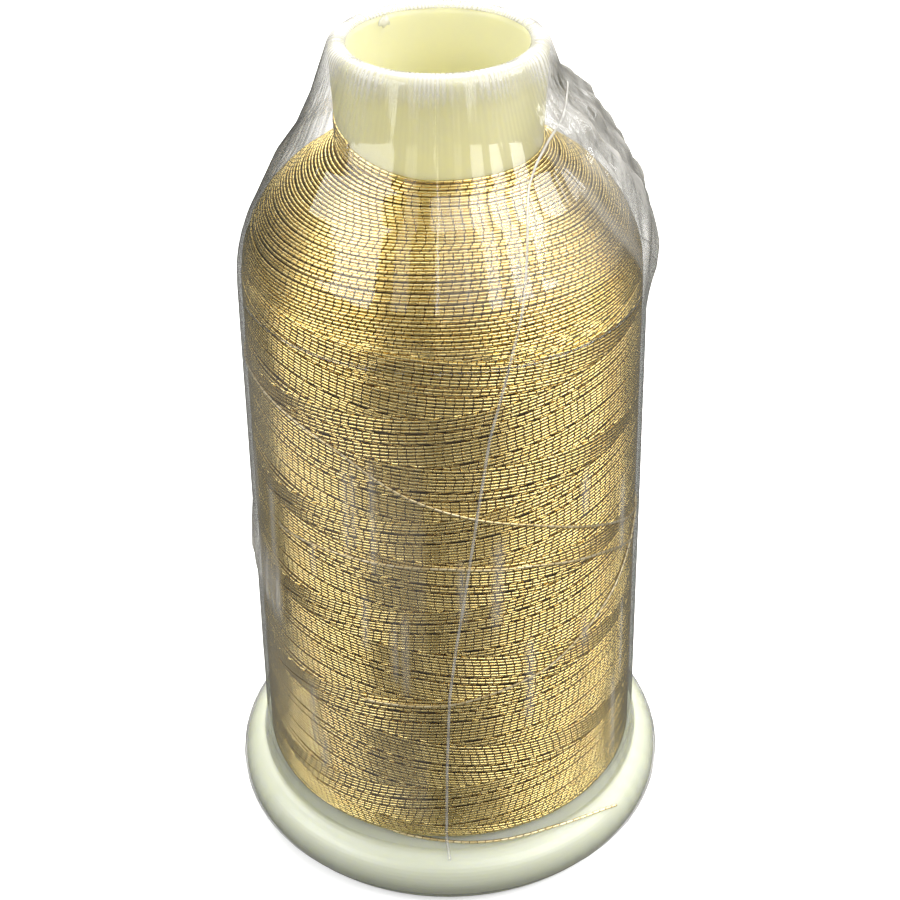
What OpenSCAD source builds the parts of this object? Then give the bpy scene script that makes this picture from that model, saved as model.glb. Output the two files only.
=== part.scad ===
// Large spool of metallic sewing thread: a hollow tube with a snap foot,
// wound with thread and sealed in clear shrink film.
// Millimetres, +Z up, origin at the centre of the base on the resting plane.

/* [Tube] */
// Height of the whole spool, from the resting plane to the tube's rim
spool_h = 120; // [114:1:126]
// Radius of the bore through the tube
tube_bore_r = 11.4; // [11.2:0.1:11.6]
// Outer radius of the tube just above the windings
neck_r = 13.1; // [13:0.1:13.3]
// Outer radius of the tube at its rim
rim_r = 13.7; // [13.6:0.1:14]
// Radius of the collar that carries the windings on the foot
collar_r = 22; // [20:0.5:22]
// Thickness of that collar
collar_t = 1.5; // [1.2:0.1:1.5]

/* [Foot] */
// Outer radius of the foot
foot_r = 32.5; // [32:0.1:33]
// Radius of the foot's rounded edge
foot_edge_r = 4.1; // [4:0.1:4.2]
// Height of the seat that the collar stands on
seat_h = 9.15; // [9:0.05:9.2]
// Radius of the bore through the foot's hub
hub_bore_r = 9.4; // [9:0.1:9.6]
// Number of ribs under the foot
rib_count = 16; // [14:1:18]
// How far the foot snaps down to free the thread end
foot_travel = 2.5; // [2:0.1:2.5]

/* [Windings] */
// Radius of the windings at the bottom
package_foot_r = 28; // [27.5:0.1:28.2]
// Radius of the windings under the shoulder
package_top_r = 26.6; // [26.4:0.1:26.8]
// Height at which the shoulder starts
shoulder_z = 88; // [86:1:88]
// Radius of the shoulder's rounding
shoulder_round = 18; // [17.5:0.5:18.5]
// Height at which the last turns meet the neck
neck_line_z = 106.8; // [106:0.2:107.4]

/* [Thread end and film] */
// Diameter of the thread
thread_d = 0.4; // [0.36:0.02:0.42]
// Thickness of the film's solid
film_t = 0.2; // [0.15:0.05:0.25]
// Gap between the film and the windings
film_gap = 0.3; // [0.25:0.05:0.35]

/* [Hidden] */
$fn = 96;
rim_round = (rim_r - tube_bore_r) / 2;
rim_centre_r = tube_bore_r + rim_round;
rim_centre_z = spool_h - rim_round;
collar_z = seat_h + 0.05;
collar_top_z = collar_z + collar_t;
collar_recess_r = collar_r + 0.2;
package_bottom_z = seat_h + 0.47;
package_edge_round = 1.2;
shoulder_end_a = 50;
shoulder_centre_r = package_top_r - shoulder_round;
foot_flat_r = foot_r - foot_edge_r;
seat_r = 26.4;
// Hub sleeve: runs in the tube's bore and is split into four prongs
hub_clearance = 0.06;
hub_r = tube_bore_r - hub_clearance;
hub_top_z = 17.95;
slot_w = 2;
slot_bottom_z = 11;
// Snap groove in the bore, and the bead on the prongs that runs in it
groove_r = 12;
groove_z = 14;
bead_r = 11.85;
bead_h = 1.3;
bead_gap = 0.1;
bead_z = groove_z + bead_gap + foot_travel;
groove_h = foot_travel + bead_h + 2 * bead_gap;
// Hollow under the foot
hollow_outer_r = 27.5;
hollow_inner_r = 14;
hollow_h = 5.5;
rib_w = 1.4;
rib_foot_gap = 0.8;
// Film: hem on the foot, turn at the foot of the windings, open cone, wrap over the rim
film_hem_z = 3.2;
film_foot_centre_z = foot_edge_r + 0.4;
film_foot_r = foot_edge_r + 0.35;
film_turn_h = 1.4;
film_cone_points = [[21.2, 103.8], [18.4, 107.6], [16.2, 112.2]];
film_rim_gap = 0.12;
film_rim_out_a = 15;
film_rim_in_a = 140;
// Angle between the points of an arc
step_a = 7.5;
// Free thread end: it leaves from under the windings and lies on the foot
tail_points = [
    [-15.0, -21.2, 9.37], [-12.4, -23.3, 9.37], [-9.6, -25.0, 9.24], [-6.6, -26.3, 9.10],
    [-3.4, -27.1, 9.00], [0.0, -27.6, 8.84], [3.6, -27.7, 8.70], [7.3, -27.2, 8.56],
    [10.9, -26.2, 8.48], [14.1, -25.0, 8.46], [17.1, -23.8, 8.36], [19.8, -22.5, 8.20],
    [22.4, -21.0, 7.86], [24.8, -19.4, 7.22]
];

// Points of an arc about (cr, cz) from angle a0 to angle a1
function arc(cr, cz, r, a0, a1) = [
    for (i = [0 : round(abs(a1 - a0) / step_a)])
        let (a = a0 + (a1 - a0) * i / round(abs(a1 - a0) / step_a))
        [cr + r * cos(a), cz + r * sin(a)]
];

// Outline of the windings, grown outwards by g
function shoulder_curve(g) = concat(
    arc(shoulder_centre_r, shoulder_z, shoulder_round + g, 0, shoulder_end_a),
    [[neck_r + g * sin(shoulder_end_a), neck_line_z + g]]
);

// Film's path from the hem on the foot up to the mouth, at offset g
function film_path(g) = concat(
    [[foot_flat_r + film_foot_r + g, film_hem_z]],
    arc(foot_flat_r, film_foot_centre_z, film_foot_r + g, 0, 80),
    [[package_foot_r + film_gap + g, package_bottom_z + film_turn_h]],
    [[package_top_r + film_gap + g, shoulder_z]],
    arc(shoulder_centre_r, shoulder_z, shoulder_round + film_gap + g, step_a, 30),
    [for (p = film_cone_points) p + [g, g]],
    arc(rim_centre_r, rim_centre_z, rim_round + film_rim_gap + g,
        film_rim_out_a, film_rim_in_a)
);

// Tube of n sides swept along points, each ring square to the route
module swept_tube(points, d, n = 8) {
    last = len(points) - 1;
    dirs = [
        for (i = [0 : last])
            let (v = points[min(i + 1, last)] - points[max(i - 1, 0)])
            v / norm(v)
    ];
    rings = [
        for (i = [0 : last])
            let (
                side = cross(dirs[i], [0, 0, 1]) / norm(cross(dirs[i], [0, 0, 1])),
                up = cross(side, dirs[i])
            )
            for (k = [0 : n - 1])
                points[i] + d / 2 * (side * cos(360 * k / n) + up * sin(360 * k / n))
    ];
    walls = [
        for (i = [0 : last - 1])
            for (k = [0 : n - 1])
                let (a = i * n + k, b = i * n + (k + 1) % n)
                for (tri = [[a, b, b + n], [a, b + n, a + n]])
                    tri
    ];
    caps = [[for (k = [n - 1 : -1 : 0]) k], [for (k = [0 : n - 1]) last * n + k]];
    polyhedron(rings, concat(walls, caps));
}

// Hollow tube with a rounded rim, a lower collar and a snap groove in its bore
module spool_tube() {
    color([0.86, 0.84, 0.66])
    difference() {
        rotate_extrude()
            polygon(concat(
                [[tube_bore_r, collar_z], [collar_r, collar_z], [collar_r, collar_top_z],
                 [neck_r, collar_top_z], [neck_r, neck_line_z]],
                arc(rim_centre_r, rim_centre_z, rim_round, 0, 180)
            ));
        translate([0, 0, groove_z])
            cylinder(r = groove_r, h = groove_h);
    }
}

// Outline of the foot: rounded edge, gentle rise to the flat seat, hollow below
module foot_outline() {
    polygon(concat(
        [[hub_bore_r, 0]],
        arc(foot_flat_r, foot_edge_r, foot_edge_r, -90, 90),
        [[seat_r, seat_h], [hub_bore_r, seat_h]]
    ));
}

// Separately moulded foot with ribs below and a four-pronged snap hub
module snap_foot() {
    color([0.84, 0.86, 0.76])
    difference() {
        union() {
            rotate_extrude()
                foot_outline();
            cylinder(r = hub_r, h = hub_top_z);
            translate([0, 0, bead_z])
                cylinder(r = bead_r, h = bead_h);
        }
        difference() {
            translate([0, 0, -1])
                cylinder(r = hollow_outer_r, h = hollow_h + 1);
            translate([0, 0, -2])
                cylinder(r = hollow_inner_r, h = hollow_h + 3);
            for (i = [0 : rib_count - 1])
                rotate([0, 0, i * 360 / rib_count])
                translate([0, -rib_w / 2, rib_foot_gap])
                    cube([foot_flat_r, rib_w, hollow_h]);
        }
        translate([0, 0, -1])
            cylinder(r = hub_bore_r, h = hub_top_z + 2);
        for (a = [45, 135])
            rotate([0, 0, a])
            translate([-bead_r - 1, -slot_w / 2, slot_bottom_z])
                cube([2 * bead_r + 2, slot_w, hub_top_z]);
    }
}

// Wound thread: straight body, rounded shoulder, recess below for the collar
module thread_package() {
    color([0.80, 0.64, 0.30])
    rotate_extrude()
        polygon(concat(
            [[neck_r, collar_top_z], [collar_recess_r, collar_top_z],
             [collar_recess_r, package_bottom_z]],
            arc(package_foot_r - package_edge_round, package_bottom_z + package_edge_round,
                package_edge_round, -90, 0),
            shoulder_curve(0)
        ));
}

// Loose end of the thread
module thread_tail() {
    color([0.86, 0.70, 0.36])
    swept_tube(tail_points, thread_d);
}

// Clear film shrunk over the rim, the windings and the foot's edge
module shrink_film() {
    inner = film_path(0);
    outer = film_path(film_t);
    color([0.92, 0.94, 0.95, 0.3])
    rotate_extrude()
        polygon(concat(outer, [for (i = [len(inner) - 1 : -1 : 0]) inner[i]]));
}

spool_tube();
snap_foot();
thread_package();
thread_tail();
shrink_film();
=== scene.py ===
import math

import bpy
import numpy as np
from mathutils import Matrix, Vector


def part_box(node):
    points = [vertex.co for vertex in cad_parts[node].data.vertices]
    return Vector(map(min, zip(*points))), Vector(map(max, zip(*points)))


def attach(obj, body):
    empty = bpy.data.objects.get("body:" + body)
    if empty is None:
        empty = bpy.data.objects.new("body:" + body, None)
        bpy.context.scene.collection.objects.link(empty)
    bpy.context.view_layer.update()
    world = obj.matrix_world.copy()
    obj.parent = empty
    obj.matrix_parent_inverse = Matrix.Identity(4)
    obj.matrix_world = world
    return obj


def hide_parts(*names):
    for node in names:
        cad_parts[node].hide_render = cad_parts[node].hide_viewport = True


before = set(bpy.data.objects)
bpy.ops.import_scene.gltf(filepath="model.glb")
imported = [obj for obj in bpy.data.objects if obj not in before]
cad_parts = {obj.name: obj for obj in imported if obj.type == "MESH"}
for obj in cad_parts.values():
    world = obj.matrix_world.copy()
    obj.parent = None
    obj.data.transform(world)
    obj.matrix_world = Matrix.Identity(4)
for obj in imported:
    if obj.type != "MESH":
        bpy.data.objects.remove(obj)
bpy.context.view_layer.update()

# All lengths are in millimetres until a mesh, light or camera is made from them.
# theta is the angle round the spool; "right" is in degrees to the right of the front.
MM = 0.001
TAU = 2 * math.pi
FRONT = -math.pi / 2


# ---------------------------------------------------------------- driving sizes
def box_mm(node):
    low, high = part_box(node)
    return np.array(low) / MM, np.array(high) / MM


SPOOL_H = box_mm("spool_tube")[1][2]
FOOT_R = box_mm("snap_foot")[1][0]
pack_low, pack_high = box_mm("thread_package")
PACK_FOOT_R = pack_high[0]
PACK_BOTTOM = pack_low[2]
NECK_LINE = pack_high[2]
PACK_TOP_R = PACK_FOOT_R - 1.4
PACK_EDGE_R = 1.2
PACK_UNDER_R = 26.4
SHOULDER_Z = 88.0
SHOULDER_ROUND = 18.0
SHOULDER_END = math.radians(50)
NECK_R = 13.1
RIM_R = 13.7
BORE_R = 11.4
FOOT_EDGE_R = 4.1
THREAD_D = 0.4

# ---------------------------------------------------------------- camera
CAM_BACK = 1.669 * SPOOL_H
CAM_UP = 1.620 * SPOOL_H
CAM_PITCH = 0.5945
CAM_YAW = 0.00335
CAM_ROLL = -0.015
FOCAL_IN_WIDTHS = 1.8838888889
SENSOR_WIDTH = 36


def make_camera():
    data = bpy.data.cameras.new("camera")
    data.sensor_width = SENSOR_WIDTH
    data.lens = SENSOR_WIDTH * FOCAL_IN_WIDTHS
    data.clip_start, data.clip_end = 0.01, 10
    cam = bpy.data.objects.new("camera", data)
    bpy.context.scene.collection.objects.link(cam)
    ahead = Vector((math.sin(CAM_YAW) * math.cos(CAM_PITCH),
                    math.cos(CAM_YAW) * math.cos(CAM_PITCH), -math.sin(CAM_PITCH)))
    flat_right = Vector((math.cos(CAM_YAW), -math.sin(CAM_YAW), 0))
    flat_up = flat_right.cross(ahead)
    right = math.cos(CAM_ROLL) * flat_right + math.sin(CAM_ROLL) * flat_up
    up = -math.sin(CAM_ROLL) * flat_right + math.cos(CAM_ROLL) * flat_up
    turn = Matrix((right, up, -ahead)).transposed()
    place = Matrix.Translation(Vector((0, -CAM_BACK, CAM_UP)) * MM)
    cam.matrix_world = place @ turn.to_4x4()
    bpy.context.scene.camera = cam


make_camera()


# ---------------------------------------------------------------- mesh helpers
def mesh_piece(name, verts, faces, material, **attributes):
    """A smooth mesh object from arrays; faces all have the same number of corners."""
    faces = np.asarray(faces, dtype=np.int32)
    mesh = bpy.data.meshes.new(name)
    mesh.vertices.add(len(verts))
    mesh.vertices.foreach_set("co", (np.asarray(verts) * MM).astype(np.float32).ravel())
    mesh.loops.add(faces.size)
    mesh.loops.foreach_set("vertex_index", faces.ravel())
    mesh.polygons.add(len(faces))
    starts = np.arange(0, faces.size, faces.shape[1], dtype=np.int32)
    mesh.polygons.foreach_set("loop_start", starts)
    mesh.polygons.foreach_set("use_smooth", np.full(len(faces), True))
    for key, values in attributes.items():
        layer = mesh.attributes.new(key, "FLOAT", "POINT")
        layer.data.foreach_set("value", np.asarray(values, dtype=np.float32))
    mesh.update(calc_edges=True)
    mesh.validate()
    mesh.materials.append(material)
    obj = bpy.data.objects.new(name, mesh)
    bpy.context.scene.collection.objects.link(obj)
    return obj


def ring_quads(rings, n):
    """Quads between neighbouring rings of n points each."""
    i = np.arange(rings - 1)[:, None] * n
    k = np.arange(n)[None, :]
    j = (k + 1) % n
    return np.stack([i + k, i + j, i + n + j, i + n + k], -1).reshape(-1, 4)


def closed_rings(rings, n, order=(0, 1, 2, 3)):
    """The same, with a fan of quads over each end; n is even, and order is the corners' order."""
    fan = np.arange(1, n - 1, 2)
    first = (np.stack([0 * fan, fan + 2, fan + 1, fan], -1) % n)[:, order]
    last = (rings - 1) * n + first[:, ::-1]
    return np.vstack([ring_quads(rings, n)[:, order], first, last])


def unit(v):
    return v / np.linalg.norm(v, axis=-1, keepdims=True)


def tube_arrays(path, up, radius, sides=6, flat=1.0):
    """Vertices and faces of a closed tube along path, flattened along up."""
    along = unit(np.gradient(path, axis=0))
    side = unit(np.cross(along, up))
    up = np.cross(side, along)
    angle = np.arange(sides) * TAU / sides
    ring = (side[:, None] * np.cos(angle)[None, :, None]
            + up[:, None] * flat * np.sin(angle)[None, :, None])
    verts = (path[:, None] + radius * ring).reshape(-1, 3)
    return verts, closed_rings(len(path), sides)


def smoothstep(x):
    x = np.clip(x, 0, 1)
    return x * x * (3 - 2 * x)


def between(x, low, high, soft):
    """1 from low to high, with soft edges inside them."""
    return smoothstep((x - low) / soft) * smoothstep((high - x) / soft)


def softened(values, width):
    """A moving average over width samples, with the ends held."""
    weight = np.hanning(width)
    return np.convolve(np.pad(values, width // 2, mode="edge"), weight / weight.sum(), "valid")


def ripple(theta, s, rng, modes, around, wavelength, size):
    """Smooth seeded noise, periodic round the spool: a sum of slanted waves."""
    total = np.zeros(np.broadcast(theta, s).shape)
    for _ in range(modes):
        m = rng.integers(around[0], around[1] + 1)
        k = TAU / rng.uniform(*wavelength) * rng.choice([-1, 1])
        total = total + np.cos(m * theta + k * s + rng.uniform(0, TAU)) * rng.uniform(0.6, 1)
    return total * size / math.sqrt(modes)


def creases(theta, s, rng, modes, around, wavelength):
    """Sharp-edged folds, 0 to 1, periodic round the spool."""
    total = np.zeros(np.broadcast(theta, s).shape)
    for _ in range(modes):
        m = rng.integers(around[0], around[1] + 1)
        k = math.pi / rng.uniform(*wavelength) * rng.choice([-1, 1])
        bend = 0.9 * np.sin(rng.integers(2, 6) * theta + s / rng.uniform(4, 9) + rng.uniform(0, TAU))
        total = total + 1 - np.abs(np.sin(m * theta + k * s + bend + rng.uniform(0, TAU)))
    return total / modes


# ---------------------------------------------------------------- outlines
class Outline:
    """A meridian curve: radius and height against the distance s along it."""

    STEP = 0.1

    def __init__(self, points):
        points = np.array(points, dtype=float)
        step = np.linalg.norm(np.diff(points, axis=0), axis=1)
        points = points[np.r_[True, step > 1e-6]]
        s = np.r_[0, np.cumsum(np.linalg.norm(np.diff(points, axis=0), axis=1))]
        self.length = s[-1]
        self.s = np.arange(0, self.length, self.STEP)
        self.r = np.interp(self.s, s, points[:, 0])
        self.z = np.interp(self.s, s, points[:, 1])

    def smooth(self, width):
        """Round its corners over a stretch this wide, and leave its ends in place."""
        n = int(width / self.STEP) | 1
        kernel = np.hanning(n + 2)[1:-1]
        kernel /= kernel.sum()
        pad = n // 2
        for key in ("r", "z"):
            a = getattr(self, key)
            mirrored = np.r_[2 * a[0] - a[pad:0:-1], a, 2 * a[-1] - a[-2:-pad - 2:-1]]
            setattr(self, key, np.convolve(mirrored, kernel, "valid"))
        return self

    def at(self, s):
        """Radius, height, and the outward normal's two parts."""
        r = np.interp(s, self.s, self.r)
        z = np.interp(s, self.s, self.z)
        dr = np.interp(s, self.s, np.gradient(self.r, self.STEP))
        dz = np.interp(s, self.s, np.gradient(self.z, self.STEP))
        size = np.hypot(dr, dz)
        return r, z, dz / size, -dr / size

    def s_at_height(self, z):
        return float(np.interp(z, self.z, self.s))

    def surface(self, theta, s, lift):
        """Points at angle theta and distance s, lifted off the outline."""
        r, z, nr, nz = self.at(s)
        out = r + lift * nr
        return np.stack([out * np.cos(theta), out * np.sin(theta), z + lift * nz], -1)

    def outward(self, theta, s):
        _, _, nr, nz = self.at(s)
        return np.stack([nr * np.cos(theta), nr * np.sin(theta), nz], -1)


def arc(centre_r, centre_z, radius, start, end, n=24):
    a = np.linspace(start, end, n)
    return [(centre_r + radius * math.cos(x), centre_z + radius * math.sin(x)) for x in a]


shoulder_centre = PACK_TOP_R - SHOULDER_ROUND
pack_edge_centre = PACK_FOOT_R - PACK_EDGE_R
pack_outline = Outline(
    [(PACK_UNDER_R, PACK_BOTTOM), (pack_edge_centre, PACK_BOTTOM)]
    + arc(pack_edge_centre, PACK_BOTTOM + PACK_EDGE_R, PACK_EDGE_R, -math.pi / 2, 0, 8)
    + arc(shoulder_centre, SHOULDER_Z, SHOULDER_ROUND, 0, SHOULDER_END)
    + [(NECK_R + 0.3, NECK_LINE), (NECK_R + 0.3, NECK_LINE + 8)]
)

# The film's outline: hem, foot, body, shoulder, straight cone up to the rim, and over it
rim_round = (RIM_R - BORE_R) / 2
rim_centre = BORE_R + rim_round
foot_flat = FOOT_R - FOOT_EDGE_R
FILM_GAP = 0.5
film_outline = Outline(
    [(foot_flat + 4.2, 3.2)]
    + arc(foot_flat, FOOT_EDGE_R + 0.2, 4.25, 0, math.radians(80))
    + [(PACK_FOOT_R + FILM_GAP, PACK_BOTTOM + 1.6), (PACK_TOP_R + FILM_GAP, SHOULDER_Z)]
    + arc(shoulder_centre, SHOULDER_Z, SHOULDER_ROUND + FILM_GAP, math.radians(7), math.radians(30))
    + [(21.3, 103.9), (18.5, 107.7), (16.3, 112.3)]
    + arc(rim_centre, SPOOL_H - rim_round, rim_round + 0.14, math.radians(15), math.radians(150))
).smooth(1.2)


# ---------------------------------------------------------------- materials
class Tree:
    """A node tree, with short ways to add to it."""

    def __init__(self, owner):
        owner.use_nodes = True
        self.nodes, self.links = owner.node_tree.nodes, owner.node_tree.links

    def put(self, node, inputs):
        """A socket is linked to the input, and anything else is set on it."""
        for key, value in inputs.items():
            if isinstance(value, bpy.types.NodeSocket):
                self.links.new(value, node.inputs[key])
            else:
                node.inputs[key].default_value = value

    def add(self, kind, inputs=None, **settings):
        node = self.nodes.new("ShaderNode" + kind)
        for key, value in settings.items():
            setattr(node, key, value)
        self.put(node, inputs or {})
        return node

    def math(self, operation, *values):
        return self.add("Math", dict(enumerate(values)), operation=operation).outputs[0]

    def attribute(self, name):
        return self.add("Attribute", attribute_name=name).outputs["Fac"]

    def map_range(self, value, start, end, to=(0.0, 1.0), smooth=True):
        kind = "SMOOTHSTEP" if smooth else "LINEAR"
        inputs = {"Value": value, "From Min": start, "From Max": end,
                  "To Min": to[0], "To Max": to[1]}
        return self.add("MapRange", inputs, interpolation_type=kind).outputs["Result"]

    def mix_colour(self, factor, a, b):
        inputs = {"Factor": factor, "A": a, "B": b}
        return self.add("Mix", inputs, data_type="RGBA").outputs["Result"]

    def mix_shader(self, factor, a, b):
        return self.add("MixShader", {0: factor, 1: a, 2: b}).outputs[0]

    def object_place(self):
        return self.add("TexCoord").outputs["Object"]

    def bump(self, height, strength, distance):
        inputs = {"Height": height, "Strength": strength, "Distance": distance}
        return self.add("Bump", inputs).outputs["Normal"]

    def surface(self, shader):
        self.put(self.nodes["Material Output"], {"Surface": shader})


def new_material(name):
    mat = bpy.data.materials.new(name)
    tree = Tree(mat)
    return mat, tree, tree.nodes["Principled BSDF"]


# The foil's dashes: their length, how far their gaps slant round the thread, the gaps' colour,
# and how far the dashes of one strand are moved along from those of the strand before it
DASH = 1.15
DASH_SLANT = 0.16
FOIL_GAP = (0.19, 0.115, 0.035, 1)
STRAND_SHIFT = 0.45


def gold_thread(name, dull, middle, bright, metallic=1.0):
    """Gold foil wrapped round a core: bright dashes with thin slanted dark gaps."""
    mat, tree, surface = new_material(name)
    phase = tree.math("ADD", tree.math("MULTIPLY", tree.attribute("along"), 1 / DASH),
                      tree.math("MULTIPLY", tree.attribute("around"), DASH_SLANT))
    cell = tree.math("FLOOR", phase)
    where = tree.math("FRACT", phase)
    from_gap = tree.math("MINIMUM", where, tree.math("SUBTRACT", 1.0, where))
    foil = tree.map_range(from_gap, 0.025, 0.10)
    key = tree.add("CombineXYZ", {0: cell, 1: tree.attribute("strand")}).outputs[0]
    chance = tree.add("TexWhiteNoise", {"Vector": key}, noise_dimensions="2D").outputs["Value"]
    tint = tree.add("ValToRGB", {"Fac": chance})
    stops = tint.color_ramp.elements
    stops[0].color, stops[1].color = (*dull, 1), (*bright, 1)
    stops.new(0.45).color = (*middle, 1)
    tree.put(surface, {
        "Base Color": tree.mix_colour(foil, FOIL_GAP, tint.outputs["Color"]),
        "Metallic": metallic,
        "Roughness": tree.map_range(chance, 0.0, 1.0, (0.21, 0.27), smooth=False),
        "Normal": tree.bump(foil, 0.6, 0.00006),
    })
    return mat


def buried_thread_painted_shade():
    """The turns under the outer ones, seen only through gaps: dark bronze that is painted shade for
    the depth between the outer turns.
    """
    mat, tree, surface = new_material("buried_thread_painted_shade")
    wave = tree.add("TexWave", {"Vector": tree.object_place(), "Scale": 700, "Distortion": 2},
                    bands_direction="Z")
    ramp = tree.add("ValToRGB", {"Fac": wave.outputs["Fac"]})
    # Painted shade: the gold of the turns underneath, darkened for the shadow deep between the outer
    # turns
    ramp.color_ramp.elements[0].color = (0.12, 0.075, 0.025, 1)
    ramp.color_ramp.elements[1].color = (0.30, 0.20, 0.08, 1)
    tree.put(surface, {"Base Color": ramp.outputs["Color"], "Metallic": 0.6, "Roughness": 0.5})
    return mat


def cream_plastic(name, pale, deep):
    """Moulded plastic with a soft, slightly see-through body and a fine skin."""
    mat, tree, surface = new_material(name)
    place = tree.object_place()
    cloud = tree.add("TexNoise", {"Vector": place, "Scale": 30, "Detail": 3}).outputs["Fac"]
    grain = tree.add("TexNoise", {"Vector": place, "Scale": 900, "Detail": 4}).outputs["Fac"]
    tree.put(surface, {
        "Base Color": tree.mix_colour(cloud, (*deep, 1), (*pale, 1)),
        "Normal": tree.bump(grain, 0.15, 0.00005),
        "Roughness": 0.38,
        "Subsurface Weight": 1.0,
        "Subsurface Radius": (1.0, 0.95, 0.55),
        "Subsurface Scale": 0.004,
    })
    return mat


def clear_film():
    """Thin film: greyer edge on and where shade is painted, milky where bunched and where glare is
    painted, and matt where stretched at the hem.
    """
    mat, tree, principled = new_material("clear_film")
    tree.nodes.remove(principled)
    facing = tree.add("LayerWeight", {"Blend": 0.5}).outputs["Facing"]
    haze = tree.attribute("haze")
    clear = tree.add("BsdfTransparent", {"Color": (0.995, 0.995, 0.995, 1)}).outputs[0]
    grey = tree.add("BsdfTransparent", {"Color": (0.50, 0.50, 0.49, 1)}).outputs[0]
    veil = tree.math("ADD", tree.math("POWER", facing, 2.0),
                     tree.math("ADD", haze, tree.attribute("shade")))
    seen = tree.mix_shader(tree.math("MINIMUM", veil, 1.0), clear, grey)
    height = tree.add("SeparateXYZ", {0: tree.object_place()}).outputs["Z"]
    roughness = tree.map_range(height, 0.010, 0.014, (0.40, 0.07), smooth=False)
    gloss = tree.add("BsdfAnisotropic", {"Color": (1, 1, 1, 1), "Roughness": roughness}).outputs[0]
    shine = tree.math("MULTIPLY_ADD", tree.math("POWER", facing, 4.0), 0.35, 0.021)
    milk_and_glare = tree.add("BsdfDiffuse", {"Color": (0.94, 0.92, 0.87, 1)}).outputs[0]
    tree.surface(tree.mix_shader(haze, tree.mix_shader(shine, seen, gloss), milk_and_glare))
    return mat


GOLD = gold_thread("gold_thread", (0.83, 0.64, 0.24), (0.90, 0.715, 0.285), (0.95, 0.775, 0.355))
# A lit copy of the gold thread: paler and less metallic, painted light on the tail and the loose
# turns on top
LIT_GOLD = gold_thread("lit_gold", (0.80, 0.62, 0.28), (0.95, 0.78, 0.42), (1.0, 0.88, 0.58), 0.6)
BURIED_SHADE = buried_thread_painted_shade()
TUBE_PLASTIC = cream_plastic("tube_plastic", (0.69, 0.675, 0.465), (0.655, 0.64, 0.43))
FOOT_PLASTIC = cream_plastic("foot_plastic", (0.645, 0.67, 0.535), (0.615, 0.645, 0.505))
FILM = clear_film()


# ---------------------------------------------------------------- thread
def thread_arrays(path, up, strand, radius=THREAD_D / 2, sides=6):
    """A tube's arrays, with what the foil's dashes are laid out by."""
    verts, quads = tube_arrays(path, up, radius, sides)
    step = np.linalg.norm(np.diff(path, axis=0), axis=1)
    along = np.r_[0, np.cumsum(step)] + strand * STRAND_SHIFT
    around = np.tile(np.abs(np.arange(sides) / sides - 0.5) * 2, len(path))
    return verts, quads, np.repeat(along, sides), np.full(len(verts), float(strand)), around


def thread_piece(name, threads, body, node, material=GOLD):
    """One piece out of many thread_arrays results."""
    verts, quads, along, strand, around = zip(*threads)
    base = np.cumsum([0] + [len(v) for v in verts[:-1]])
    obj = mesh_piece(name, np.vstack(verts), np.vstack([q + b for q, b in zip(quads, base)]),
                     material, along=np.concatenate(along), strand=np.concatenate(strand),
                     around=np.concatenate(around))
    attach(obj, body)
    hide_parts(node)
    return obj


# Free end of the thread, on the route that its CAD solid takes
TAIL = np.array([
    (-15.0, -21.2, 9.37), (-12.4, -23.3, 9.37), (-9.6, -25.0, 9.24), (-6.6, -26.3, 9.10),
    (-3.4, -27.1, 9.00), (0.0, -27.6, 8.84), (3.6, -27.7, 8.70), (7.3, -27.2, 8.56),
    (10.9, -26.2, 8.48), (14.1, -25.0, 8.46), (17.1, -23.8, 8.36), (19.8, -22.5, 8.20),
    (22.4, -21.0, 7.86), (24.8, -19.4, 7.22)])


def rounded_path(points, per_span=8):
    """Catmull-Rom curve through the points."""
    p = np.vstack([2 * points[0] - points[1], points, 2 * points[-1] - points[-2]])
    t = np.linspace(0, 1, per_span, endpoint=False)[:, None]
    out = []
    for a, b, c, d in zip(p, p[1:], p[2:], p[3:]):
        out.append(0.5 * (2 * b + (c - a) * t + (2 * a - 5 * b + 4 * c - d) * t ** 2
                          + (3 * b - a - 3 * c + d) * t ** 3))
    out.append(points[-1][None])
    return np.vstack(out)


def make_tail():
    path = rounded_path(TAIL)
    up = np.tile([0.0, 0.0, 1.0], (len(path), 1))
    tail = thread_piece("thread_tail_end", [thread_arrays(path, up, 3, sides=8)],
                        "foot", "thread_tail", LIT_GOLD)


make_tail()

# ---------------------------------------------------------------- wound thread
STEPS_PER_TURN = 170
BODY_LEN = pack_outline.s_at_height(SHOULDER_Z)
WRAP_END = pack_outline.s_at_height(NECK_LINE) + 0.4
# One family of turns rises a traverse in each turn round, in this many passes side by side
TRAVERSE = 15.5
PASSES = 29
# Depths of the strands' middles: the buried core (painted dark, as shade), under the shoulder's
# turns, lower, outer
DEEP, UNDER, LOW, HIGH = -0.94, -0.52, -0.62, -0.16
# Pitch and diameter of the turns over the shoulder
SHOULDER_THREAD = 0.43
# Most faces in one piece of thread
MAX_FACES = 95000


def lay(theta, s):
    """How far the turns wander up and down from an even winding."""
    rng = np.random.default_rng(5)
    return (ripple(theta, s, rng, 5, (1, 3), (40, 90), 0.8)
            + ripple(theta, s, rng, 6, (2, 5), (14, 30), 0.16))


def pulled_up(theta, s):
    """Turns dragged up the neck on the left."""
    near_top = np.exp(-np.maximum(WRAP_END - s, 0) / 5.0)
    return 3.2 * near_top * np.clip(np.cos(theta - math.radians(172)), 0, 1) ** 1.5


def lie_on_package(theta, s_even, lift):
    """Path and outward direction of turns laid at s_even, once they have wandered."""
    fade = smoothstep((s_even - 1) / 8) * (0.15 + 0.85 * smoothstep((WRAP_END - s_even) / 10))
    s = s_even + lay(theta, s_even) * fade + pulled_up(theta, s_even)
    s = np.maximum(s, 0.4)
    return pack_outline.surface(theta, s, lift), pack_outline.outward(theta, s)


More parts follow.
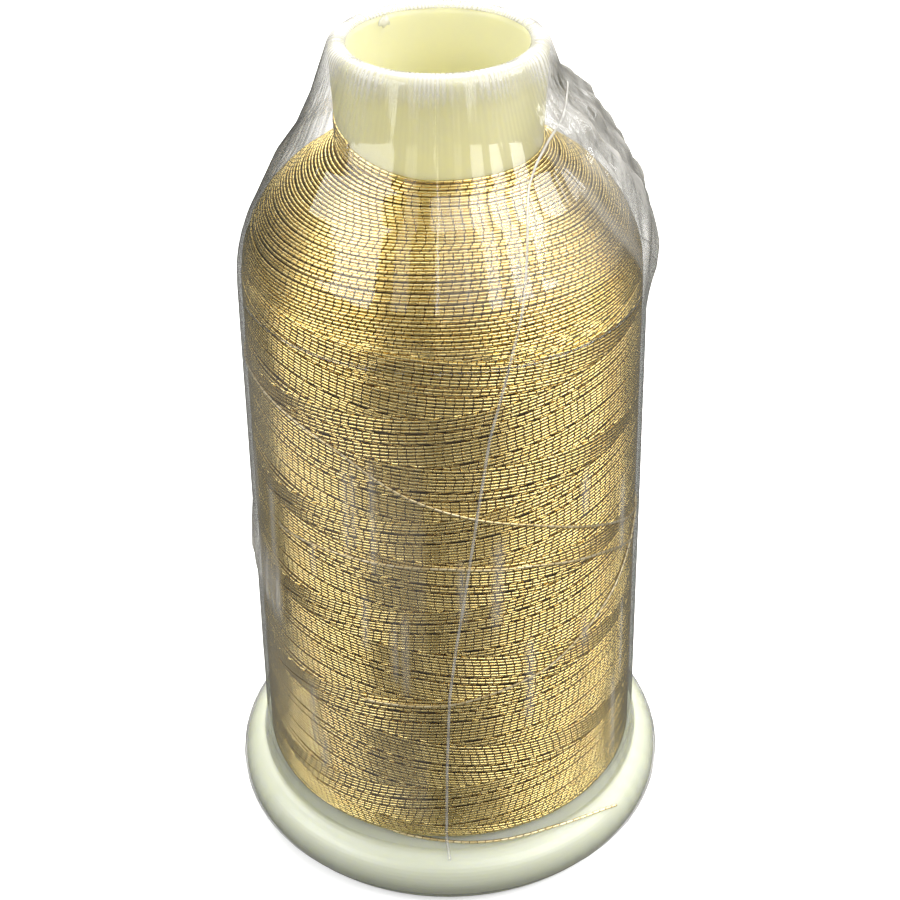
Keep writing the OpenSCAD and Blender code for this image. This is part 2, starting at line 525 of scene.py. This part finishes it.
def thread_pieces(name, threads):
    """Numbered pieces, each with no more than MAX_FACES faces. Numbered pieces, each
    small enough to be written out whole.
    """
    groups, count = [[]], 0
    for thread in threads:
        if count + len(thread[1]) > MAX_FACES:
            groups.append([])
            count = 0
        groups[-1].append(thread)
        count += len(thread[1])
    for number, group in enumerate(groups):
        thread_piece(f"{name}_{number + 1}", group, "core", "thread_package")


def pass_age(theta, s, sense):
    """Which pass of one family lies here, from 0 for its oldest to 1 for its newest."""
    return np.mod((s - sense * TRAVERSE * theta / TAU) / TRAVERSE, 1.0)


def make_crossed_turns():
    """Two families of turns that climb and sink; the newer one lies on top."""
    rng = np.random.default_rng(23)
    threads = []
    top = BODY_LEN + 7
    for sense in (1, -1):
        slack = np.cumsum(rng.normal(0, 0.035, PASSES) + 0.24 * (rng.random(PASSES) < 0.28))
        slack -= np.linspace(0, slack[-1], PASSES)
        for k in range(PASSES):
            start = (k + 0.5) / PASSES * TRAVERSE + slack[k] - TRAVERSE
            turns = np.arange(0, (top + 2 * TRAVERSE) / TRAVERSE, 1 / STEPS_PER_TURN)
            theta = sense * turns * TAU
            s = start + turns * TRAVERSE
            kept = (s > 0.3) & (s < top)
            theta, s = theta[kept], s[kept]
            mine = (k + 0.5) / PASSES
            other = pass_age(theta, s, -sense)
            over = smoothstep((mine - other) / 0.06 + 0.5)
            lift = LOW + (HIGH - LOW) * over
            lift = lift + (UNDER - lift) * smoothstep((s - BODY_LEN - 1 - 3 * other) / 3)
            path, up = lie_on_package(theta, s, lift)
            threads.append(thread_arrays(path, up, k + (100 if sense > 0 else 200)))
    thread_pieces("crossed_turns", threads)


def make_shoulder_turns():
    """Near-level turns over the shoulder, up to the neck."""
    rng = np.random.default_rng(31)
    start = BODY_LEN - 4
    turns = np.arange(0, (WRAP_END - start) / SHOULDER_THREAD, 1 / STEPS_PER_TURN)
    theta = turns * TAU + FRONT + math.pi
    knots = np.arange(0, math.ceil(turns[-1]) + 1, 0.23)
    s = start + turns * SHOULDER_THREAD + np.interp(turns, knots, rng.normal(0, 0.04, len(knots)))
    risen = smoothstep((s - BODY_LEN - 1.5 * np.sin(2 * theta)) / 4)
    lift = LOW + (HIGH + 0.03 - LOW) * risen
    lift = lift + np.interp(turns, knots, rng.normal(0, 0.03, len(knots)))
    path, up = lie_on_package(theta, s, lift)
    thread_pieces("shoulder_turns", [thread_arrays(path, up, 300, SHOULDER_THREAD / 2)])


# Loose turns on top of the others: degrees to the right of the front, distance up the outline
STRAYS = [
    [(-100, 68.5), (-68, 69.7), (-48, 68.6), (-30, 66.6), (-21, 63.9), (-12, 61.5), (-2, 59.6),
     (9, 57.7), (24, 55.5), (40, 52.1), (70, 45.3), (100, 41.0)],
    [(-60, 49.0), (-30, 50.2), (0, 50.4), (25, 48.8), (50, 45.2), (80, 39.0)],
    [(-30, 26.0), (0, 27.0), (30, 30.5), (60, 37.5), (85, 46.0)],
]
STRAY_R = 0.18


def make_strays():
    threads = []
    for number, knots in enumerate(STRAYS):
        angle, up_outline = np.array(knots).T
        right = np.linspace(angle[0], angle[-1], 160)
        s = softened(np.interp(right, angle, up_outline), 17)
        from_end = np.minimum(right - right[0], right[-1] - right)
        lift = -0.5 + 0.71 * smoothstep(from_end / 6)
        theta = np.radians(right) + FRONT
        path = pack_outline.surface(theta, s, lift)
        up = pack_outline.outward(theta, s)
        threads.append(thread_arrays(path, up, 400 + number, STRAY_R))
    thread_piece("stray_turns", threads, "core", "thread_package", LIT_GOLD)


def make_buried_turns():
    s = np.linspace(0, WRAP_END + 0.5, 160)
    theta = np.linspace(0, TAU, 181)[:-1]
    s, theta = np.meshgrid(s, theta, indexing="ij")
    lift = DEEP + (UNDER - DEEP) * smoothstep((s - BODY_LEN - 4) / 3)
    points = pack_outline.surface(theta, s, lift).reshape(-1, 3)
    obj = mesh_piece("buried_turns", points, ring_quads(*s.shape), BURIED_SHADE)
    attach(obj, "core")
    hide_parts("thread_package")


make_crossed_turns()
make_shoulder_turns()
make_strays()
make_buried_turns()

# ---------------------------------------------------------------- plastic
for node, material in (("spool_tube", TUBE_PLASTIC), ("snap_foot", FOOT_PLASTIC)):
    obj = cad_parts[node]
    obj.data.materials.clear()
    obj.data.materials.append(material)

# ---------------------------------------------------------------- film
# Where stretches of the film begin, as distances along its outline
FILM_CONE = 90
FILM_RIM = film_outline.length - 8.5


def degrees_right(theta):
    return np.degrees(np.mod(theta - FRONT + math.pi, TAU) - math.pi)


def pleat_pattern(theta):
    return (np.abs(np.sin(68 * theta + 1.7 * np.sin(7 * theta) + 0.8 * np.sin(19 * theta)))
            * (0.6 + 0.4 * np.sin(11 * theta + 1)))


# Each function below gives one feature of the film as three values: how far it
# stands off its even outline; how milky it is, with painted glare added as milky white in
# places; and how much painted shade greys it, for the dark surroundings that it reflects.

def even_film(theta, s, right, rng):
    calm = smoothstep((s - 86) / 8) * smoothstep((50 - np.abs(right)) / 20)
    waves = np.abs(ripple(theta, s, rng, 10, (8, 40), (30, 120), 0.04))
    return 0.11 + (1 - 0.85 * calm) * waves, 0, 0


def rim_pleats(theta, s, right):
    """Pleats gathered over the rim, the lines that they leave below it, and a painted highlight over
    the top of the rim.
    """
    gathered = between(s, FILM_RIM - 6, film_outline.length + 9, 7)
    pleats = pleat_pattern(theta)
    side = 0.2 + 0.8 * smoothstep((np.abs(right) - 25) / 40)
    over_rim = between(s, FILM_RIM + 2.4, 200, 3.4)
    # Over the top of the rim the milkiness is partly the pleats' own whitening and partly a painted
    # highlight, for the bright sky that the film there reflects.
    haze = 0.12 * gathered * side * pleats + (0.12 + 0.26 * pleats) * over_rim
    return 0.08 * gathered * pleats * side, haze, 0


def drawn_cone(theta, s, right, rng):
    """Lines drawn down the cone, stronger away from the front, and painted shade that greys the
    cone's sides.
    """
    cone = between(s, FILM_CONE, FILM_RIM + 1, 6)
    drawn = np.abs(ripple(theta, s, rng, 14, (18, 70), (60, 200), 0.075))
    lift = cone * drawn * (0.02 + 0.98 * smoothstep((np.abs(right) - 48) / 28))
    # Painted shade: the film on the cone's sides is greyed for the dark surroundings that it
    # reflects there.
    shade = (0.32 * cone * smoothstep((np.abs(right) - 48) / 25)
             * (0.7 + 0.3 * pleat_pattern(theta)))
    return lift, 0, shade


def loose_part(theta, s, right, rng):
    """The crumpled stretch on the right of the cone, and the fold along its edge, with painted shade
    greying its far side.
    """
    edge = 42 + 1.25 * (FILM_RIM - s) * smoothstep((FILM_RIM - s) / 6)
    loose = (smoothstep((right - edge) / 16) * smoothstep((172 - right) / 30)
             * (0.55 * smoothstep((s - 66) / 22) + 0.45 * smoothstep((s - 88) / 12))
             * smoothstep((FILM_RIM + 2 - s) / 7))
    folds = creases(theta, s, rng, 3, (12, 20), (14, 30))
    fine = creases(theta, s, rng, 4, (26, 48), (5, 14))
    lift = loose * (2.5 + 1.3 * (folds - 0.4) + 0.55 * (fine - 0.4))
    haze = loose * (0.10 + 0.42 * np.clip(folds - 0.35, 0, 1) ** 1.5
                    + 0.35 * np.clip(fine - 0.45, 0, 1))
    fold = (between(right - edge, -3, 5, 3) * smoothstep((s - 80) / 10)
            * smoothstep((FILM_RIM - s) / 4))
    # The last value is painted shade: grey on the loose film's far side, for the dark surroundings
    # that it reflects.
    return lift, haze + 0.06 * fold, 0.30 * loose * smoothstep((right - 66) / 14)


def left_pocket(theta, s, right):
    """Slack film low on the left."""
    pocket = (smoothstep((right + 90) / 7) * smoothstep((-54 - right) / 3)
              * smoothstep((s - 37 + 0.12 * (right + 54)) / 5) * smoothstep((53 - s) / 7))
    rucks = creases(theta, s, np.random.default_rng(8), 3, (20, 52), (9, 26))
    lift = pocket * (0.15 + 0.55 * rucks)
    haze = pocket * (0.10 + 0.55 * np.clip(rucks - 0.35, 0, 1))
    return lift, haze, 0


def pale_patch_and_painted_glare(s, right):
    """A stretched patch that ends in a straight edge, and painted glare over the right shoulder."""
    patch = (smoothstep((right + 100) / 10) * smoothstep((-5.5 - right) / 1.2)
             * between(s, 9, 86, 8) * (0.55 + 0.45 * np.sin(s / 7 + right / 19)))
    # The second term is painted glare: milky white over the right shoulder, for the light that the
    # film there reflects.
    return 0, 0.03 * patch + 0.055 * between(right, -6, 88, 10) * between(s, 91, 111, 7), 0


# Streaks that stand in one group: degrees to the right, and their two ends
STREAK_GROUP = [(-28, 56, 74), (-25.5, 58, 74), (-20, 54, 75), (-15, 36, 50), (-12, 34, 52)]


def upright_streaks(s, right, rng):
    lift = haze = 0
    for _ in range(26):
        at, wide = rng.uniform(-180, 180), rng.uniform(0.5, 1.5)
        low, tall = rng.uniform(10, 66), rng.uniform(8, 22)
        off = np.mod(right - at - 0.8 * np.sin(s / 9 + at) + 180, 360) - 180
        line = np.exp(-(off / wide) ** 2) * between(s, low, low + tall, 4)
        haze = haze + 0.11 * line
        lift = lift + 0.06 * line
    for at, low, high in STREAK_GROUP:
        haze = haze + 0.10 * np.exp(-((right - at) / 0.8) ** 2) * between(s, low, high, 5)
    return lift, haze, 0


def foot_hem(theta, s):
    """The gathers round the foot."""
    hem = smoothstep((9 - s) / 7)
    return 0.025 * hem * np.abs(np.sin(44 * theta + np.sin(5 * theta))), 0.03 * hem, 0


def film_relief(theta, s):
    """The film's lift, milkiness with painted glare, and painted shade at every place, from all its
    features.
    """
    rng = np.random.default_rng(3)
    right = degrees_right(theta)
    features = [
        even_film(theta, s, right, rng),
        rim_pleats(theta, s, right),
        drawn_cone(theta, s, right, rng),
        loose_part(theta, s, right, rng),
        left_pocket(theta, s, right),
        pale_patch_and_painted_glare(s, right),
        upright_streaks(s, right, rng),
        foot_hem(theta, s),
    ]
    return tuple(sum(kind) for kind in zip(*features))


def film_piece(name, points, faces, **attributes):
    obj = mesh_piece(name, points, faces, FILM, **attributes)
    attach(obj, "core")
    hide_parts("shrink_film")


FILM_SKIN = 0.05


def film_shell(name, s, around):
    """A thin closed skin over one stretch of the outline."""
    theta = np.linspace(0, TAU, around, endpoint=False)
    s, theta = np.meshgrid(s, theta, indexing="ij")
    lift, haze, shade = film_relief(theta, s)
    outer = film_outline.surface(theta, s, lift)
    wrapped = np.concatenate([outer[:, -1:], outer, outer[:, :1]], axis=1)
    sideways = (wrapped[:, 2:] - wrapped[:, :-2]) / 2
    inner = outer - FILM_SKIN * unit(np.cross(sideways, np.gradient(outer, axis=0)))
    rings, n = s.shape
    total = rings * n
    skin = ring_quads(rings, n)
    k = np.arange(n)
    j = (k + 1) % n
    low = np.stack([k, total + k, total + j, j], -1)
    high = (rings - 1) * n + low[:, ::-1]
    film_piece(name, np.vstack([outer.reshape(-1, 3), inner.reshape(-1, 3)]),
               np.vstack([skin, total + skin[:, ::-1], low, high]),
               haze=np.tile(haze.ravel(), 2), shade=np.tile(shade.ravel(), 2))


def make_film():
    """Two pieces that meet below the shoulder, finer at the hem and on the cone."""
    split = 87.0
    hem_end = 10
    last = film_outline.length - 0.11
    body = np.r_[np.linspace(0, hem_end, 34)[:-1], np.linspace(hem_end, split, 116)]
    film_shell("film_body", body, 330)
    film_shell("film_crown", np.linspace(split, last, 86), 560)


# Weld seam of the film: degrees to the right of the front, distance up the film's outline
SEAM = [(84, 116.0), (72, 115.4), (60, 114.3), (50, 112.6), (39, 110.0), (33, 107.7),
        (29, 104.5), (26.5, 101.0), (22.5, 95.2), (18, 89.4), (14.5, 82.8), (11.5, 77.2),
        (8, 65.4), (4.5, 52.8), (2, 44.4), (0, 35.6), (-1, 22.7), (-1.5, 9.5), (-0.5, 5.0)]
SEAM_R = 0.19
SEAM_FLATNESS = 0.35
SEAM_SIDES = 6
SEAM_STEP = 0.4
MM_PER_DEGREE = 0.45


def make_seam():
    angle, up_outline = np.array(SEAM).T
    steps = np.hypot(np.diff(angle) * MM_PER_DEGREE, np.diff(up_outline))
    along = np.r_[0, np.cumsum(steps)]
    t = np.arange(0, along[-1], SEAM_STEP)
    right = softened(np.interp(t, along, angle), 9)
    s = softened(np.interp(t, along, up_outline), 9)
    theta = np.radians(right) + FRONT
    lift = softened(film_relief(theta, s)[0], 25) + 0.05
    path = film_outline.surface(theta, s, lift)
    up = film_outline.outward(theta, s)
    verts, quads = tube_arrays(path, up, SEAM_R, SEAM_SIDES, SEAM_FLATNESS)
    haze = 0.17 + 0.05 * np.sin(t * 1.3) + 0.2 * smoothstep((s - 92) / 12)
    film_piece("film_seam", verts, quads, haze=np.repeat(haze, SEAM_SIDES))


def make_nub():
    """The small shrunk knot of film at the back of the rim."""
    rings, n = 18, 28
    tilt, turn = np.meshgrid(np.linspace(0.06, math.pi - 0.06, rings),
                             np.linspace(0, TAU, n, endpoint=False), indexing="ij")
    crumple = 1 + 0.16 * np.abs(np.sin(4 * turn + 2 * tilt)) + 0.10 * np.sin(7 * turn - 3 * tilt)
    ball = np.stack([np.sin(tilt) * np.cos(turn), np.sin(tilt) * np.sin(turn), np.cos(tilt)], -1)
    ball = ball * crumple[..., None] * (1.3, 0.5, 0.75)
    theta = math.radians(-143) + FRONT
    along = np.array([-math.sin(theta), math.cos(theta), 0])
    out = np.array([math.cos(theta), math.sin(theta), 0])
    up = np.array([0, 0, 1.0])
    centre = out * (BORE_R + 0.35) + up * (SPOOL_H - 1.3)
    points = centre + ball[..., :1] * along + ball[..., 1:2] * out + ball[..., 2:] * up
    # Its rings run downwards, so the corners are taken the other way round to face outwards
    faces = closed_rings(rings, n, (0, 3, 2, 1))
    film_piece("film_nub", points.reshape(-1, 3), faces, haze=np.full(rings * n, 0.5))


make_film()
make_seam()
make_nub()

# ---------------------------------------------------------------- stage and light
FLOOR_HALF = 3000.0
FLOOR_Z = -0.02
LIGHT_DISTANCE = 560
LIGHT_TARGET_Z = 80
# Window panes: degrees to the right of the front, width, brightness
PANES = [(-24, 80, 1.6), (-3, 10, 5), (14, 30, 1.2), (30, 76, 5.4), (46, 92, 7.2), (64, 104, 8.8),
         (84, 116, 8.2), (105, 120, 4.6), (126, 110, 1)]
PANE_H = 300
PANE_ELEVATION = 34
# Sky: how it dims towards the front, and a bright cap overhead that leans to the back
DIM_TURN = math.radians(12)
DIM_EDGE, DIM_FULL = 0.45, 0.90
SKY_SIDE, SKY_FRONT, SKY_TOP = 0.42, 0.07, 7.4
TOP_TILT = math.radians(34)
TOP_EDGE, TOP_FULL = 0.76, 0.96


def make_floor():
    """Pale to the camera, but dull to the light that the metal thread mirrors."""
    mat, tree, pale = new_material("pale_floor")
    tree.put(pale, {"Base Color": (0.93, 0.93, 0.93, 1), "Roughness": 0.7,
                    "Emission Color": (1, 1, 1, 1), "Emission Strength": 0.35})
    dull = tree.add("BsdfDiffuse", {"Color": (0.13, 0.13, 0.125, 1)}).outputs[0]
    to_camera = tree.add("LightPath").outputs["Is Camera Ray"]
    tree.surface(tree.mix_shader(to_camera, dull, pale.outputs[0]))
    corners = [(x * FLOOR_HALF, y * FLOOR_HALF, FLOOR_Z)
               for x, y in ((-1, -1), (1, -1), (1, 1), (-1, 1))]
    mesh_piece("floor", corners, [(0, 1, 2, 3)], mat)


def make_sky():
    """A pale studio: bright above and at the sides, dimmer straight in front."""
    world = bpy.data.worlds.new("world")
    tree = Tree(world)
    m = tree.math
    split = tree.add("SeparateXYZ", {0: tree.add("TexCoord").outputs["Generated"]})
    x, y, z = split.outputs
    level = m("SQRT", m("ADD", m("MULTIPLY", x, x), m("MULTIPLY", y, y)))
    ahead = m("DIVIDE", m("ADD", m("MULTIPLY", x, -math.sin(DIM_TURN)),
                          m("MULTIPLY", y, -math.cos(DIM_TURN))), m("MAXIMUM", level, 0.001))
    walls = tree.map_range(ahead, DIM_EDGE, DIM_FULL, (SKY_SIDE, SKY_FRONT))
    overhead = m("ADD", m("MULTIPLY", z, math.cos(TOP_TILT)), m("MULTIPLY", y, math.sin(TOP_TILT)))
    top = tree.map_range(overhead, TOP_EDGE, TOP_FULL)
    strength = tree.add("Mix", {"Factor": top, "A": walls, "B": SKY_TOP}).outputs["Result"]
    tree.put(tree.nodes["Background"], {"Strength": strength, "Color": (1.0, 0.99, 0.96, 1)})
    bpy.context.scene.world = world


def area_light(name, right, elevation, size, power, distance=LIGHT_DISTANCE, color=(1, 1, 1)):
    """A softbox that faces the spool, this many degrees to the right of the front."""
    data = bpy.data.lights.new(name, "AREA")
    data.shape = "RECTANGLE"
    data.size, data.size_y = size[0] * MM, size[1] * MM
    data.energy = power
    data.color = color
    light = bpy.data.objects.new(name, data)
    bpy.context.scene.collection.objects.link(light)
    a, e = math.radians(right), math.radians(elevation)
    away = Vector((math.sin(a) * math.cos(e), -math.cos(a) * math.cos(e), math.sin(e)))
    light.location = (Vector((0, 0, LIGHT_TARGET_Z)) + away * distance) * MM
    light.rotation_mode = "QUATERNION"
    light.rotation_quaternion = away.to_track_quat("Z", "Y")


make_floor()
make_sky()
area_light("front_strip", 24, 52, (440, 150), 0.65)
area_light("left_softbox", -67, 31, (580, 280), 2.6, distance=600, color=(0.97, 0.98, 1.0))
for number, (right, width, level) in enumerate(PANES):
    area_light(f"window_pane_{number + 1}", right, PANE_ELEVATION, (width, PANE_H),
               level * math.pi * width * PANE_H * MM * MM)
bpy.context.scene.view_settings.view_transform = "Standard"
